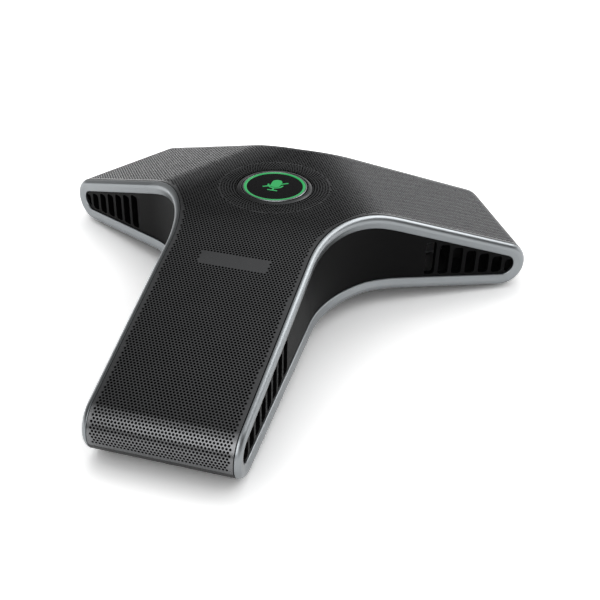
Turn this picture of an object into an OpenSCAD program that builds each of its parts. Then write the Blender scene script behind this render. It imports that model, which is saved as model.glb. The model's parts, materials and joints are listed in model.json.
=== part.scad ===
// Three-armed table microphone pod with a lit mute key on its hub.
// Lengths are in millimetres, +Z is up, the feet stand on Z = 0 and the front arm points along -Y.
// The origin is the middle of the footprint, and every module works about the hub axis.
// "t" is a distance along an arm from the hub axis, and an "inset" is a distance in from the outer skin.

/* [Plan] */
// Length of the front arm from the hub axis to its nose
front_len = 156; // [146:1:170]
// Length of each rear arm from the hub axis to its nose
rear_len = 125.5; // [120:0.5:140]
// Width of an arm at its nose, over the rims
arm_w = 66; // [62:1:74]
// Lean of each arm side, so that the arms widen towards the hub
arm_taper = 1.1; // [0:0.1:2]
// Angle between the front arm and each rear arm
arm_angle = 118.8; // [116:0.2:121]
// Plan radius of the hollow side between two arms
side_r = 64; // [58:1:72]

/* [Height] */
// Height of the grille on the hub above the table
hub_h = 53.5; // [51:0.5:60]
// Side-view radius of each nose
nose_r = 12; // [11:0.5:13]
// Height of the noses above the table
nose_lift = 2; // [1.5:0.1:2.5]
// Height of the arched underside at the hub
arch_h = 9.2; // [8:0.2:10]
// Share of an arm's length over which the underside is level at the hub
arch_share = 0.3; // [0.25:0.01:0.35]
// Distance from the hub axis to the knee where the top turns down along an arm
knee_t = 37.8; // [36:0.2:40]
// Length of the rounding on each side of the knee
knee_m = 13.8; // [9:0.2:14]

/* [Skin] */
// Thickness of the grille sheet
sheet_t = 0.8; // [0.6:0.1:1]
// Height above the table at which the grille ends on a nose
sheet_low = 10.4; // [9.8:0.1:11]
// Thickness of the top cover under the grille
cover_t = 1.6; // [1.4:0.1:1.8]
// Set-back of the underside behind the lower rim edge
under_step = 0.3; // [0.2:0.1:0.5]
// Height of the joint between base and top cover
part_z = 12; // [11.5:0.5:13]

/* [Rims and panels] */
// Thickness of a rim, from the outside inwards
rim_t = 2.5; // [2.2:0.1:2.8]
// Width of a rim's front edge
rim_face = 2.5; // [2.2:0.1:2.8]
// Width of a rim from its outer edge to the panel
rim_w = 6.4; // [6:0.1:6.8]
// How far a rim's inner band stands back from its front edge
rim_lean = 0.5; // [0.3:0.1:0.7]
// Rounding of a rim's outer edge, cut as two steps
rim_round = 0.8; // [0.4:0.1:1]
// Thickness of a side panel
panel_t = 1.8; // [1.5:0.1:2]
// How far a panel's field stands forward into its rim
panel_rise = 1.2; // [0.8:0.1:1.4]
// Width of an upright slot
slot_w = 5.4; // [4.8:0.1:5.6]
// Corner rounding of a slot
slot_round = 1.6; // [1:0.1:2]
// Distance between slots
slot_pitch = 7.4; // [7:0.1:8]
// Distance from a rear arm's end to its first slot
slot_first = 8.4; // [8:0.1:10]
// Distance from the front arm's end to its first slot
front_slot_first = 11; // [10:0.5:14]
// Slots on each side of a rear arm
slot_count = 7; // [4:1:7]
// Slots on each side of the front arm
front_slot_count = 8; // [4:1:8]
// Depth of a slot's top below the arm's top
slot_top = 8.8; // [8:0.1:9]
// Height of a slot's foot above the underside
slot_foot = 7.8; // [7.4:0.1:8.2]

/* [Mute key] */
// Outside radius of the light ring
key_r = 16; // [15:0.5:18]
// Width of the light ring
ring_w = 2; // [1.5:0.1:2.5]
// Height of the light ring above the grille
key_rise = 0.4; // [0.3:0.1:1]
// Depth of the cap's face below the light ring
cap_drop = 0.2; // [0.1:0.1:0.4]
// Thickness of the cap
cap_t = 2.1; // [1.6:0.1:2.4]
// Depth of the symbol inlay
inlay_t = 0.3; // [0.2:0.1:0.6]
// Travel of the key
key_travel = 0.5; // [0.3:0.1:0.7]
// Width of the plain collar round the key
collar_w = 2.3; // [1.8:0.1:3]
// Height of the collar's lip above the grille
collar_rise = 0.2; // [0.1:0.1:0.4]

/* [Fittings] */
// Radius of a foot
foot_r = 9; // [7:0.5:10]
// Height of a foot, part of which sits in the base
foot_h = 3.8; // [3.6:0.1:4]
// Distance from an arm's end to its foot
foot_back = 18; // [17:0.5:20]
// Radius of a microphone capsule
mic_r = 4.85; // [4:0.05:5]
// Height of a microphone capsule
mic_h = 6; // [4:0.5:7]
// Distance from an arm's end to its microphone
mic_back = 27; // [26:0.5:32]
// Radius of the main board
board_r = 30; // [29:0.5:31]
// Height of the main board's underside
board_z = 30; // [29.5:0.5:31]
// Thickness of both circuit boards
board_t = 1.6; // [1.2:0.1:2]

/* [Hidden] */
$fn = 96;

// Fits: a seated piece, a visible seam, a sliding piece, a screw in its pilot hole and in a through hole
seat = 0.15;
seam = 0.3;
slide_gap = 0.35;
screw_gap = 0.06;
screw_slack = 0.25;
// Depth to which a rib, post or wall runs into the shell that carries it
weld = 0.5;

// The three arms as angle and length: front, right and left
ARMS = [[-90, front_len], [-90 + arm_angle, rear_len], [-90 - arm_angle, rear_len]];
ARM_IDS = [0, 1, 2];
// Each bay lies between an arm and the next one counter-clockwise: right, rear and left
BAYS = [[0, 1], [1, 2], [2, 0]];
RIGHT = 0;
REAR = 1;
LEFT = 2;

function direction(a) = [cos(a), sin(a)];
function cross_left(v) = [-v.y, v.x];
function nose_c(len) = [len - nose_r, nose_lift + nose_r];

// Slope of an arm's top: the line through the knee that touches the nose circle from above
function top_slope(len) =
    let (run = nose_c(len).x - knee_t, fall = hub_h - nose_c(len).y)
    atan2(fall, run) - asin(nose_r / norm([run, fall]));
// Slope of an arm's underside: the line from the arch's end that touches the nose circle from below
function under_slope(len) =
    let (run = nose_c(len).x - arch_share * len, fall = arch_h - nose_c(len).y)
    atan2(fall, run) + asin(nose_r / norm([run, fall]));
function bend_r(len) = knee_m / tan(top_slope(len) / 2);
function under_z(t, len) = arch_h - max(0, t - arch_share * len) * tan(under_slope(len));
function top_z(t, len) =
    let (c = nose_c(len), run = t - c.x, touch = nose_r * sin(top_slope(len)))
    run > touch ? c.y + sqrt(nose_r * nose_r - run * run)
    : hub_h - max(0, t - knee_t) * tan(top_slope(len));

// A side line of an arm, on the side facing the next arm (side = 1) or the one before (side = -1)
function side_dir(arm, side) =
    let (a = ARMS[arm][0]) direction(a - side * arm_taper);
function side_normal(arm, side) = side * cross_left(side_dir(arm, side));
function side_reach(arm, side) =
    let (a = ARMS[arm][0], half = arm_w / 2 + ARMS[arm][1] * tan(arm_taper))
    side * half * cross_left(direction(a)) * side_normal(arm, side);
// Centre of the arc between two arms, touching both side lines
function bay_centre(bay) =
    let (
        n1 = side_normal(BAYS[bay][0], 1),
        n2 = side_normal(BAYS[bay][1], -1),
        d1 = side_r + side_reach(BAYS[bay][0], 1),
        d2 = side_r + side_reach(BAYS[bay][1], -1),
        det = n1.x * n2.y - n1.y * n2.x
    )
    [(d1 * n2.y - d2 * n1.y) / det, (n1.x * d2 - n2.x * d1) / det];

// Depths below the outer skin
cover_d = sheet_t + seat;
inner_d = cover_d + cover_t;
panel_d = inner_d + seat;
rib_h = 3.5;
rib_d = inner_d + rib_h;
// Depths in from the outer side
skin_off = rim_t + seam;
panel_off = rim_t + seat;
rib_off = panel_off + panel_t + seat;
rim_lip_off = 2 / 3 * rim_t;
rib_t = 1.6;

// Levels of the key, from the top down
cover_top = hub_h - cover_d;
cover_under = hub_h - inner_d;
ring_top = hub_h + key_rise;
cap_top = ring_top - cap_drop;
cap_under = cap_top - cap_t;
flange_t = 2;
flange_top = cover_under - slide_gap;
flange_under = flange_top - flange_t;
ring_in = key_r - ring_w;
key_gap = 0.5;
hole_r = key_r + key_gap;
flange_lip = 1.6;
flange_r = hole_r + flange_lip;
sleeve_t = 1.6;
sleeve_r = flange_r + slide_gap;
collar_r = hole_r + collar_w;
// Levels and places of the key board
key_board_drop = 4.6;
key_board_top = flange_under - key_board_drop;
post_r = 2.8;
key_post_ring = sleeve_r + sleeve_t + post_r - weld;
key_board_edge = 0.2;
key_board_r = key_post_ring + post_r + key_board_edge;
KEY_POSTS = [30, 150, 270];
// Tact switch and lamps
switch_w = 6;
switch_h = 3.3;
plunger_r = 1.7;
plunger_gap = 0.2;
plunger_depth = 1;
lamp_ring = key_r - ring_w / 2;
LAMPS = [for (i = [0 : 5]) 60 * i];
lamp_size = [1.8, 3.2, 1.1];
// Screws: pilot and head
screw_r = 1.25;
head_r = 2.4;
head_h = 1.5;
bite = 6;
// Base screws, two on each arm
base_screw_share = 0.5;
base_screw_side = 18;
clamp_t = 2.6;
base_post_r = 3.4;
// Main board, its posts and what it carries
BOARD_POSTS = [-145, -35, 45, 135];
board_post_ring = 25;
board_top = board_z + board_t;
can_size = [20, 18, 3];
socket_size = [4, 8, 2.2];
socket_ring = 25;
lead_w = 6;
lead_t = 0.4;
lead_out = 3;
ramp_run = 8;
riser_gap = 3;
riser_t = board_r + riser_gap;
key_lead_ring = 19;
key_lead_angle = 0;
// Network jack under the main board, and the pocket that its plug enters
jack_size = [16, 21, 13.4];
jack_front = -3;
port_size = [11.9, 13, 8.2];
latch_w = 6.2;
latch_h = 2.2;
port_lift = 2.6;
pocket_w = 22;
pocket_end = 37;
pocket_wall = 1.6;
pocket_clear = 0.6;
pocket_top = board_z - pocket_clear - pocket_wall;
window_lip = 1;
// Microphone boot and its seat
boot_t = 1.6;
boot_floor = 1.5;
mic_lift = 1.2;
seat_wall = 1.4;
seat_h = 3;

// Bends stand proud of the straight lines that they join by this much, so that no two faces only touch
crown = 0.005;
bend_lap = 3;
far = 260;
reach = max(front_len, rear_len) + 15;
tall = hub_h + 20;
// Farthest point of the rear arms behind the hub axis, so that the origin is the middle of the footprint
rear_reach = rear_len * sin(ARMS[1][0]) + arm_w / 2 * cos(ARMS[1][0]);
hub_y = (front_len - rear_reach) / 2;

black = [0.07, 0.07, 0.075];
gunmetal = [0.2, 0.205, 0.21];
silver = [0.75, 0.77, 0.78];
green = [0.13, 0.68, 0.36];
gloss = [0.03, 0.03, 0.035];
board_green = [0.05, 0.25, 0.15];
rubber = [0.12, 0.12, 0.12];
steel = [0.62, 0.63, 0.65];
white = [0.92, 0.92, 0.88];
grey = [0.45, 0.46, 0.48];

// Moves a piece drawn about the hub axis into the part's frame
module at_hub() {
    translate([0, hub_y, 0]) children();
}

// Places children at distance t along an arm and s across it
module on_arm(arm, t, s = 0) {
    rotate(ARMS[arm][0]) translate([t, s, 0]) children();
}

// Turns a drawing in (t, z) into a wall across an arm
module across_arm(arm, width = 2 * far) {
    rotate(ARMS[arm][0]) rotate([90, 0, 0]) linear_extrude(width, center = true) children();
}

// Plan of the open space between two arms, grown by off into the object
module bay_plan(bay, off) {
    c = bay_centre(bay);
    n1 = side_normal(BAYS[bay][0], 1);
    n2 = side_normal(BAYS[bay][1], -1);
    p1 = c - (side_r + off - crown) * n1;
    p2 = c - (side_r + off - crown) * n2;
    q1 = p1 + far * side_dir(BAYS[bay][0], 1);
    q2 = p2 + far * side_dir(BAYS[bay][1], -1);
    polygon([p1, q1, q1 + q2 - c, q2, p2]);
    translate(c) circle(side_r + off);
}

// Plan of the object, in by off
module plan(off) {
    difference() {
        circle(reach);
        for (bay = [0 : 2]) bay_plan(bay, off);
    }
}

// Point at an angle from straight up on a circle in a side view
function on_circle(centre, r, angle) = centre + r * [sin(angle), cos(angle)];
// Centre of the bend at the knee, and the bend's two ends at the level top and on the slope
function bend_c(len) = [knee_t - knee_m, hub_h - bend_r(len) + crown];
function level_end(len, inset) = [bend_c(len).x, hub_h - inset];
function slope_start(len, inset) =
    on_circle(bend_c(len), bend_r(len) - inset - crown, top_slope(len));

// Side view of everything under an arm's top, in by inset, with its knee cut off along the chord of the bend
module top_profile(len, inset) {
    c = nose_c(len);
    slope = top_slope(len);
    level = hub_h - inset;
    nose_top = on_circle(c, nose_r - inset - crown, slope);
    slope_end = nose_top + nose_r * [cos(slope), -sin(slope)];
    edge = len + nose_r;
    difference() {
        polygon([
            [-far, -1], [-far, level], level_end(len, inset), slope_start(len, inset),
            slope_end, [edge, slope_end.y], [edge, -1]
        ]);
        difference() {
            polygon([
                [c.x, -2], c, [nose_top.x, c.y], [nose_top.x, tall], [edge + 1, tall], [edge + 1, -2]
            ]);
            translate(c) circle(nose_r - inset);
        }
    }
}

// Side view of the rounding that fills the knee above that chord
module bend_profile(len, inset) {
    start = level_end(len, inset) - [bend_lap, nose_r];
    end = slope_start(len, inset) + [bend_lap, -nose_r];
    intersection() {
        translate(bend_c(len)) circle(bend_r(len) - inset, $fn = 360);
        polygon([start, [start.x, tall], [end.x, tall], end]);
    }
}

// Side view of everything over an arm's underside, in by inset
module under_profile(len, inset) {
    slope = under_slope(len);
    corner = [arch_share * len + inset * tan(slope / 2), arch_h + inset];
    end = [len, corner.y - (len - corner.x) * tan(slope)];
    polygon([[-far, corner.y], corner, end, [len, tall], [-far, tall]]);
}

// Space under the whole top, in by inset: skins follow the rounded knees, hidden pieces their chords
module under_top(inset, arms = ARM_IDS, rounded = true) {
    intersection_for(arm = arms) union() {
        across_arm(arm) top_profile(ARMS[arm][1], inset);
        if (rounded) across_arm(arm) bend_profile(ARMS[arm][1], inset);
    }
}

module under_cover(inset, arms = ARM_IDS) {
    under_top(inset, arms, rounded = false);
}

// Space over the whole underside, in by inset
module over_base(inset, arms = ARM_IDS) {
    for (arm = arms) across_arm(arm) under_profile(ARMS[arm][1], inset);
}

module between_skins(inset, arms) {
    intersection() {
        under_top(inset, arms);
        over_base(inset, arms);
    }
}

// Upright wall along one side between two depths in from the outer side
module side_band(bay, off_out, off_in) {
    linear_extrude(tall) difference() {
        bay_plan(bay, off_in);
        bay_plan(bay, off_out);
    }
}

// Everything below and above the joint between base and top cover
module below(z) {
    translate([-far, -far, -1]) cube([2 * far, 2 * far, z + 1]);
}

module below_parting() {
    below(part_z - seat);
}

module above_parting() {
    translate([-far, -far, part_z]) cube([2 * far, 2 * far, tall]);
}

module plan_block(off) {
    linear_extrude(tall) plan(off);
}

module base_screw_places() {
    for (arm = ARM_IDS, side = [-1, 1])
        on_arm(arm, base_screw_share * ARMS[arm][1], side * base_screw_side) children();
}

module ring_places(angles, radius) {
    for (a = angles) rotate(a) translate([radius, 0, 0]) children();
}

module tube(r_out, r_in, h) {
    difference() {
        cylinder(r = r_out, h = h);
        translate([0, 0, -1]) cylinder(r = r_in, h = h + 2);
    }
}

module block(size) {
    translate([-size.x / 2, -size.y / 2, 0]) cube(size);
}

// Screw pointing up from its head, which lies below z = 0
module screw_up(length) {
    translate([0, 0, -head_h]) cylinder(r = head_r, h = head_h);
    cylinder(r = screw_r, h = length);
}

module pilot(length) {
    cylinder(r = screw_r + screw_gap, h = length);
}

function mic_t(arm) = ARMS[arm][1] - mic_back;
function floor_z(t, len) = under_z(t, len) + inner_d;
function mic_z(arm) = floor_z(mic_t(arm) - 2 * mic_r, ARMS[arm][1]) + mic_lift;
base_seat_z = part_z - seat - clamp_t;

module base_shell() {
    intersection() {
        plan_block(skin_off);
        difference() {
            intersection() {
                union() {
                    under_cover(cover_d);
                    intersection() {
                        under_cover(seat);
                        below(sheet_low - seat);
                    }
                }
                over_base(under_step);
            }
            intersection() {
                under_cover(inner_d);
                over_base(inner_d);
            }
        }
        below_parting();
    }
}

// Low rib behind each panel's foot
module base_ribs() {
    intersection() {
        difference() {
            plan_block(rib_off);
            plan_block(rib_off + rib_t);
        }
        under_cover(inner_d);
        difference() {
            over_base(inner_d - weld);
            over_base(rib_d);
        }
        below_parting();
    }
}

module base_posts() {
    intersection() {
        union() {
            base_screw_places() cylinder(r = base_post_r, h = part_z - seat);
            ring_places(BOARD_POSTS, board_post_ring) cylinder(r = post_r, h = board_z);
            for (arm = ARM_IDS) on_arm(arm, mic_t(arm))
                cylinder(r = mic_r + boot_t + seat + seat_wall, h = mic_z(arm) + seat_h);
        }
        over_base(under_step + weld);
    }
}

module pocket_box(grow) {
    translate([-pocket_w / 2 - grow, jack_front - grow, -1])
        cube([pocket_w + 2 * grow, pocket_end - jack_front + 2 * grow, pocket_top + grow + 1]);
}

module base_cuts() {
    base_screw_places() {
        translate([0, 0, -1]) cylinder(r = head_r + seam, h = base_seat_z + 1);
        cylinder(r = screw_r + screw_slack, h = part_z + 1);
    }
    ring_places(BOARD_POSTS, board_post_ring) translate([0, 0, board_z - bite - 1]) pilot(bite + 2);
    for (arm = ARM_IDS) {
        on_arm(arm, mic_t(arm)) translate([0, 0, mic_z(arm)])
            cylinder(r = mic_r + boot_t + seat, h = seat_h + 1);
        on_arm(arm, ARMS[arm][1] - foot_back) translate([0, 0, -1])
            cylinder(r = foot_r + seat, h = foot_h + seat + 1);
        on_arm(arm, mic_t(arm) - mic_r - boot_t - seat - seat_wall - 1)
            translate([-1, -lead_w / 2 - seam, mic_z(arm)])
            cube([4 + seat_wall, lead_w + 2 * seam, seat_h + 1]);
    }
    pocket_box(0);
    translate([window_lip - jack_size.x / 2, jack_front - pocket_wall - 1, board_z - jack_size.z - seat])
        cube([jack_size.x - 2 * window_lip, pocket_wall + 2, jack_size.z - window_lip]);
}

module base_cover() {
    color(black) at_hub() difference() {
        union() {
            base_shell();
            base_ribs();
            base_posts();
            intersection() {
                pocket_box(pocket_wall);
                over_base(under_step + weld);
            }
        }
        base_cuts();
    }
}

// Carrier of the grille: roof, noses down to the parting height, ribs, bosses and the key's sleeve
module top_roof() {
    intersection() {
        plan_block(skin_off);
        difference() {
            under_top(cover_d);
            under_cover(inner_d);
        }
        above_parting();
    }
}

module top_ribs() {
    intersection() {
        difference() {
            plan_block(rib_off);
            plan_block(rib_off + rib_t);
        }
        difference() {
            under_cover(inner_d - weld);
            under_cover(rib_d);
        }
        above_parting();
    }
}

module top_posts() {
    intersection() {
        union() {
            translate([0, 0, part_z]) base_screw_places() cylinder(r = base_post_r, h = tall);
            translate([0, 0, key_board_top]) {
                ring_places(KEY_POSTS, key_post_ring) cylinder(r = post_r, h = cover_top - key_board_top);
                cylinder(r = sleeve_r + sleeve_t, h = cover_top - key_board_top);
            }
        }
        under_cover(cover_d + weld);
    }
}

module top_cover() {
    color(black) at_hub() difference() {
        union() {
            top_roof();
            top_ribs();
            top_posts();
        }
        base_screw_places() translate([0, 0, part_z - 1]) pilot(bite + 3);
        ring_places(KEY_POSTS, key_post_ring) translate([0, 0, key_board_top - 1]) pilot(bite);
        translate([0, 0, key_board_top - 1]) cylinder(r = sleeve_r, h = cover_under - key_board_top + 1);
        cylinder(r = hole_r, h = tall);
    }
}

// Perforated sheet; its fine holes are a surface finish and are not cut here
module grille() {
    color(gunmetal) at_hub() difference() {
        intersection() {
            plan_block(skin_off);
            difference() {
                under_top(0);
                under_top(sheet_t);
            }
            translate([-far, -far, sheet_low]) cube([2 * far, 2 * far, tall]);
        }
        translate([0, 0, cover_top]) cylinder(r = collar_r + seat, h = tall);
    }
}

// A rim is three nested layers on one back face: rounded edge and face, inner band, and inner lip
module rim(bay) {
    arms = BAYS[bay];
    layers = [
        [0, rim_round, rim_round + rim_face],
        [rim_lean, rim_round / 4, rim_w],
        [rim_lip_off, 0, rim_w + seat]
    ];
    for (layer = layers) intersection() {
        side_band(bay, layer[0], rim_t);
        difference() {
            between_skins(layer[1], arms);
            between_skins(layer[2], arms);
        }
    }
}

module stadium(width, low, high) {
    translate([-width / 2, low + width / 2]) square([width, high - low - width]);
    for (z = [low + width / 2, high - width / 2]) translate([0, z]) circle(width / 2);
}

module slot_plan(low, high) {
    translate([0, (low + high) / 2]) offset(slot_round)
        square([slot_w - 2 * slot_round, high - low - 2 * slot_round], center = true);
}

// Row of upright slots on one side of an arm, shorter towards its end
module slot_row(arm, side) {
    len = ARMS[arm][1];
    is_front = arm == ARM_IDS[0];
    first = is_front ? front_slot_first : slot_first;
    count = is_front ? front_slot_count : slot_count;
    rotate(ARMS[arm][0]) translate([0, side * arm_w / 2, 0]) rotate([90, 0, 0])
        linear_extrude(4 * rim_t + 2 * panel_t, center = true)
        for (i = [0 : count - 1]) {
            t = len - first - i * slot_pitch;
            low = under_z(min(t, nose_c(len).x), len) + slot_foot;
            translate([t, 0]) slot_plan(low, top_z(t, len) - slot_top);
        }
}

// A panel is a plate behind the rim with a field that stands forward into the rim's opening
module panel(bay) {
    arms = BAYS[bay];
    difference() {
        union() {
            intersection() {
                side_band(bay, panel_off, panel_off + panel_t);
                under_cover(panel_d, arms);
                over_base(panel_d, arms);
            }
            intersection() {
                side_band(bay, panel_off - panel_rise, panel_off + weld);
                between_skins(rim_w + 2 * seat, arms);
            }
        }
        slot_row(arms[0], 1);
        slot_row(arms[1], -1);
    }
}

module rim_right() { color(silver) at_hub() rim(RIGHT); }
module rim_left() { color(silver) at_hub() rim(LEFT); }
module rim_rear() { color(silver) at_hub() rim(REAR); }
module panel_right() { color(black) at_hub() panel(RIGHT); }
module panel_left() { color(black) at_hub() panel(LEFT); }
module panel_rear() { color(black) at_hub() panel(REAR); }

module key_collar() {
    color(gunmetal) at_hub() translate([0, 0, cover_top])
        tube(collar_r, hole_r, hub_h + collar_rise - cover_top);
}

// Struck-through microphone: body, cradle, stem, foot and slash
module symbol_plan(grow = 0) {
    body_w = 5;
    body_low = -1.2;
    body_high = 7;
    cradle_r = 3.6;
    cradle_y = 1.6;
    line = 0.9;
    foot_y = -4.5;
    slash = [13.2, 1];
    slash_y = 1.4;
    slash_turn = 32;
    edge = 2 * [grow, grow];
    stem_top = cradle_y - cradle_r;
    stadium(body_w + 2 * grow, body_low - grow, body_high + grow);
    translate([0, cradle_y]) difference() {
        circle(cradle_r + line / 2 + grow);
        circle(cradle_r - line / 2 - grow);
        translate([-far, grow]) square(2 * far);
    }
    translate([0, (stem_top + foot_y) / 2]) square([line, stem_top - foot_y] + edge, center = true);
    translate([0, foot_y]) square([body_w, line] + edge, center = true);
    translate([0, slash_y]) rotate(slash_turn) square(slash + edge, center = true);
}

module key_symbol() {
    color(green) at_hub() translate([0, 0, cap_top - inlay_t]) linear_extrude(inlay_t) symbol_plan();
}

module key_cap() {
    color(gloss) at_hub() difference() {
        translate([0, 0, cap_under]) cylinder(r = ring_in - seat, h = cap_t);
        translate([0, 0, cap_top - inlay_t]) linear_extrude(inlay_t + 1) symbol_plan(seat / 3);
    }
}

module key_light_ring() {
    color(green) at_hub() translate([0, 0, flange_top]) tube(key_r, ring_in, ring_top - flange_top);
}

// Plate under cap and ring, with a window over each lamp
module key_carrier() {
    color(black) at_hub() difference() {
        union() {
            translate([0, 0, flange_under]) cylinder(r = flange_r, h = flange_t);
            translate([0, 0, flange_under]) cylinder(r = ring_in - seat, h = cap_under - flange_under);
        }
        translate([0, 0, flange_under - 1])
            ring_places(LAMPS, lamp_ring) cylinder(r = ring_w / 2, h = flange_t + 2);
    }
}

module switch_plunger() {
    base_z = key_board_top + switch_h - plunger_depth;
    color(grey) at_hub() translate([0, 0, base_z]) cylinder(r = plunger_r, h = flange_under - base_z);
}

module tact_switch() {
    well = plunger_depth + key_travel + seam;
    color(grey) at_hub() translate([0, 0, key_board_top]) difference() {
        block([switch_w, switch_w, switch_h]);
        translate([0, 0, switch_h - well]) cylinder(r = plunger_r + plunger_gap, h = well + 1);
    }
}

// Through hole for a screw in a circuit board
module board_hole() {
    translate([0, 0, -1]) cylinder(r = screw_r + screw_slack, h = board_t + 2);
}

module key_board() {
    color(board_green) at_hub() translate([0, 0, key_board_top - board_t]) difference() {
        cylinder(r = key_board_r, h = board_t);
        ring_places(KEY_POSTS, key_post_ring) board_hole();
    }
}

module key_lamps() {
    color(white) at_hub() translate([0, 0, key_board_top]) ring_places(LAMPS, lamp_ring) block(lamp_size);
}

module key_board_screws() {
    color(steel) at_hub() translate([0, 0, key_board_top - board_t])
        ring_places(KEY_POSTS, key_post_ring) screw_up(board_t + bite - 2);
}

module main_board() {
    color(board_green) at_hub() translate([0, 0, board_z]) difference() {
        cylinder(r = board_r, h = board_t);
        ring_places(BOARD_POSTS, board_post_ring) board_hole();
    }
}

module shield_can() {
    color(steel) at_hub() translate([0, 0, board_top]) block(can_size);
}

module socket_places() {
    for (arm = ARM_IDS) rotate(ARMS[arm][0]) translate([socket_ring, 0, 0]) children();
}

// Lead sockets on the main board, one per microphone, and one pair for the key's lead
module lead_sockets() {
    color(white) at_hub() {
        translate([0, 0, board_top]) {
            socket_places() block(socket_size);
            rotate(key_lead_angle) translate([key_lead_ring, 0, 0]) block(socket_size);
        }
        rotate(key_lead_angle) translate([key_lead_ring, 0, key_board_top - board_t - socket_size.z])
            block(socket_size);
    }
}

module board_screws() {
    color(steel) at_hub() ring_places(BOARD_POSTS, board_post_ring) translate([0, 0, board_top])
        mirror([0, 0, 1]) screw_up(board_t + bite - 1);
}

module network_jack() {
    port_z = board_z - jack_size.z + port_lift;
    color(steel) at_hub() difference() {
        translate([-jack_size.x / 2, jack_front - pocket_wall - seat - jack_size.y, board_z - jack_size.z])
            cube(jack_size);
        translate([-port_size.x / 2, jack_front - pocket_wall - port_size.y, port_z])
            cube([port_size.x, port_size.y + 1, port_size.z]);
        translate([-latch_w / 2, jack_front - pocket_wall - port_size.y, port_z - latch_h])
            cube([latch_w, port_size.y + 1, latch_h + 1]);
    }
}

module mic_boot(arm) {
    color(rubber) at_hub() on_arm(arm, mic_t(arm)) translate([0, 0, mic_z(arm)]) difference() {
        cylinder(r = mic_r + boot_t, h = boot_floor + mic_h);
        translate([0, 0, boot_floor]) cylinder(r = mic_r + seat / 3, h = mic_h + 1);
    }
}

module mic_capsule(arm) {
    color(steel) at_hub() on_arm(arm, mic_t(arm)) translate([0, 0, mic_z(arm) + boot_floor])
        cylinder(r = mic_r, h = mic_h);
}

// Flat lead: along the floor from the boot, up past the board's edge and into its socket
module mic_lead(arm) {
    len = ARMS[arm][1];
    start = mic_t(arm) - mic_r - boot_t - seat / 2;
    corner = [arch_share * len, floor_z(0, len) + seat];
    out = [start, mic_z(arm) + 1];
    ramp = [start - lead_out, out.y];
    foot = [start - ramp_run, floor_z(start - ramp_run, len) + seat];
    in = [riser_t, corner.y];
    top = [riser_t, board_top + socket_size.z / 2];
    plug = [socket_ring + socket_size.x / 2, top.y];
    color(grey) at_hub() across_arm(arm, lead_w) ribbon([out, ramp, foot, corner, in, top, plug]);
}

// Sideways step from a bend of a ribbon to its edge, along the mitre of the runs before and after it
function mitre(before, bend, after) =
    let (
        a = cross_left(bend - before) / norm(bend - before),
        b = cross_left(after - bend) / norm(after - bend)
    )
    (a + b) / (1 + a * b);
function ribbon_step(points, i) =
    let (
        last = len(points) - 1,
        before = i > 0 ? points[i - 1] : 2 * points[0] - points[1],
        after = i < last ? points[i + 1] : 2 * points[last] - points[last - 1]
    )
    mitre(before, points[i], after) * lead_t;

// Flat lead seen from its edge, with its underside or inner side on the points
module ribbon(points) {
    last = len(points) - 1;
    edge = [for (i = [0 : last]) points[last - i] - ribbon_step(points, last - i)];
    polygon(concat(points, edge));
}

module key_lead() {
    low = board_top + socket_size.z;
    high = key_board_top - board_t - socket_size.z;
    color(grey) at_hub() rotate(key_lead_angle) translate([key_lead_ring, 0, low])
        block([lead_t, lead_w, high - low]);
}

module foot(arm) {
    color(rubber) at_hub() on_arm(arm, ARMS[arm][1] - foot_back) cylinder(r = foot_r, h = foot_h);
}

module base_screws() {
    color(steel) at_hub() base_screw_places() translate([0, 0, base_seat_z]) screw_up(clamp_t + bite);
}

base_cover();
top_cover();
grille();
rim_right();
rim_left();
rim_rear();
panel_right();
panel_left();
panel_rear();
key_collar();
key_cap();
key_light_ring();
key_symbol();
key_carrier();
switch_plunger();
tact_switch();
key_board();
key_lamps();
key_board_screws();
main_board();
shield_can();
lead_sockets();
board_screws();
network_jack();
mic_boot(0);  // mic_boot_front
mic_boot(1);  // mic_boot_right
mic_boot(2);  // mic_boot_left
mic_capsule(0);  // mic_capsule_front
mic_capsule(1);  // mic_capsule_right
mic_capsule(2);  // mic_capsule_left
mic_lead(0);  // mic_lead_front
mic_lead(1);  // mic_lead_right
mic_lead(2);  // mic_lead_left
key_lead();
foot(0);  // foot_front
foot(1);  // foot_right
foot(2);  // foot_left
base_screws();
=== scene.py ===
"""Three-armed table microphone pod: its finishes and fine surfaces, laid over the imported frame.

Lengths in the shape functions are millimetres about the hub axis, with the front arm along -Y.
"""
import json
import math
from functools import partial

import bmesh
import bpy
import numpy as np
from mathutils import Matrix


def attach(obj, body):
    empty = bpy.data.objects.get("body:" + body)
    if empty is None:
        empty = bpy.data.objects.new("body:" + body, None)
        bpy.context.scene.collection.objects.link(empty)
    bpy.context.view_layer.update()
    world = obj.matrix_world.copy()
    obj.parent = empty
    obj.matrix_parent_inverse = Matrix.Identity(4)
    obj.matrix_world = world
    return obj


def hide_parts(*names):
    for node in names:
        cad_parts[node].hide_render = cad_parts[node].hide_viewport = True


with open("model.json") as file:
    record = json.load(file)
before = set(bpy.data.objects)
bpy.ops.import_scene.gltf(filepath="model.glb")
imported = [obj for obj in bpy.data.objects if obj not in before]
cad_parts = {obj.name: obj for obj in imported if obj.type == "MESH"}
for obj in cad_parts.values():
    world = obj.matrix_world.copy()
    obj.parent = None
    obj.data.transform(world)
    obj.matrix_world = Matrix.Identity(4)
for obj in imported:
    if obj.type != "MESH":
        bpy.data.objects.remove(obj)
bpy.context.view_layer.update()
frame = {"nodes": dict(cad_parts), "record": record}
nodes = frame["nodes"]

# Sizes of the housing, as the solids have them
# Arms: lengths from the hub axis, width at the nose, lean of each side, and turn from the front to a rear one
FRONT_LEN, REAR_LEN = 156.0, 125.5
ARM_W, ARM_TAPER = 66.0, math.radians(1.1)
ARM_ANGLE = math.radians(118.8)
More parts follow.
